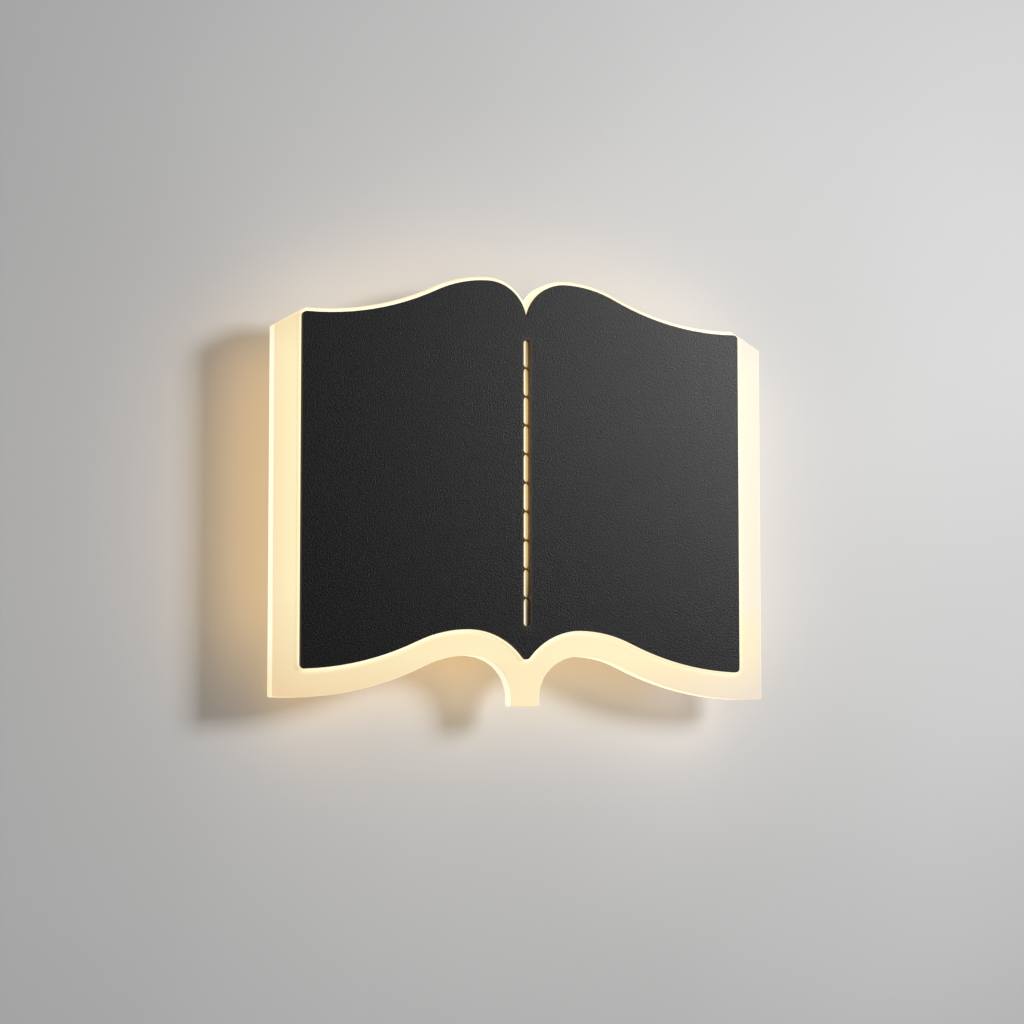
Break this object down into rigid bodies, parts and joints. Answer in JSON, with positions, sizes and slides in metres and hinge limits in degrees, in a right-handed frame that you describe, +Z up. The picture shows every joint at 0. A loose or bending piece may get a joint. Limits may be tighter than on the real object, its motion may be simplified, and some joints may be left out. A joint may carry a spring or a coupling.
{
  "type": "wall lamp",
  "caption": "Open-book wall lamp: black sheet cover with a stitched spine in front of a thick frosted acrylic book that glows, hung by side screws on a slotted bracket",
  "frame": {"origin": "on the wall's face, midway between the bracket's two fixing slots", "axes": "+X to the right seen from the front, +Y into the wall, +Z up"},
  "size_m": [0.301, 0.04, 0.247],
  "materials": {
    "powder_black": "matte powder coat with a very fine grain",
    "opal_acrylic": "frosted, lit from inside",
    "mill_aluminium": "plain mill finish",
    "white_board": "white solder mask on an aluminium core",
    "chip_phosphor": "warm white phosphor",
    "zinc_steel": "bright zinc plate",
    "driver_white": "satin moulded",
    "board_green": "green solder mask on glass fibre",
    "ferrite": "dark sintered ferrite",
    "capacitor_sleeve": "dark shrink sleeve over an aluminium can",
    "terminal_grey": "satin moulded",
    "button_orange": "satin moulded",
    "tinned_brass": "tin plate over brass",
    "lead_brown": "soft insulation",
    "lead_blue": "soft insulation",
    "lead_green_yellow": "soft insulation, green with a yellow stripe",
    "lead_red": "soft insulation",
    "lead_black": "soft insulation",
    "black_rubber": "moulded",
    "natural_nylon": "moulded"
  },
  "bodies": {
    "wall_mount": {"wall_bracket": "zinc_steel", "cable_grommet": "black_rubber"},
    "lamp": {"front_cover": "powder_black", "cover_studs": "zinc_steel", "stud_washers": "zinc_steel", "stud_nuts": "zinc_steel", "diffuser": "opal_acrylic", "back_plate": "mill_aluminium", "led_board_left": "white_board", "led_board_right": "white_board", "leds_left": "chip_phosphor", "leds_right": "chip_phosphor", "board_screws": "zinc_steel", "led_connector": "natural_nylon", "connector_pins": "tinned_brass", "canopy": "powder_black", "canopy_screws": "zinc_steel", "side_screws": "zinc_steel", "side_nuts": "zinc_steel", "driver_case": "driver_white", "driver_lid": "driver_white", "driver_board": "board_green", "driver_transformer": "ferrite", "driver_capacitors": "capacitor_sleeve", "driver_screws": "zinc_steel", "terminal_block": "terminal_grey", "terminal_clamps": "tinned_brass", "terminal_screws": "zinc_steel", "live_lead": "lead_brown", "neutral_lead": "lead_blue", "positive_lead": "lead_red", "negative_lead": "lead_black", "earth_lead": "lead_green_yellow", "earth_ring": "tinned_brass", "earth_washer": "zinc_steel", "earth_screw": "zinc_steel", "lead_clips": "natural_nylon"},
    "live_button": {"release_live": "button_orange"},
    "neutral_button": {"release_neutral": "button_orange"},
    "earth_button": {"release_earth": "button_orange"}
  },
  "joints": [
    {"name": "lamp_lift", "type": "slide", "parent": "wall_mount", "child": "lamp", "axis": [0, 0, 1], "range_m": [0, 0.01]},
    {"name": "live_release", "type": "slide", "parent": "lamp", "child": "live_button", "axis": [0, -1, 0], "range_m": [0, 0.0015], "stiffness_N_per_m": 2000, "springref_m": -0.0005},
    {"name": "neutral_release", "type": "slide", "parent": "lamp", "child": "neutral_button", "axis": [0, -1, 0], "range_m": [0, 0.0015], "stiffness_N_per_m": 2000, "springref_m": -0.0005},
    {"name": "earth_release", "type": "slide", "parent": "lamp", "child": "earth_button", "axis": [0, -1, 0], "range_m": [0, 0.0015], "stiffness_N_per_m": 2000, "springref_m": -0.0005}
  ]
}
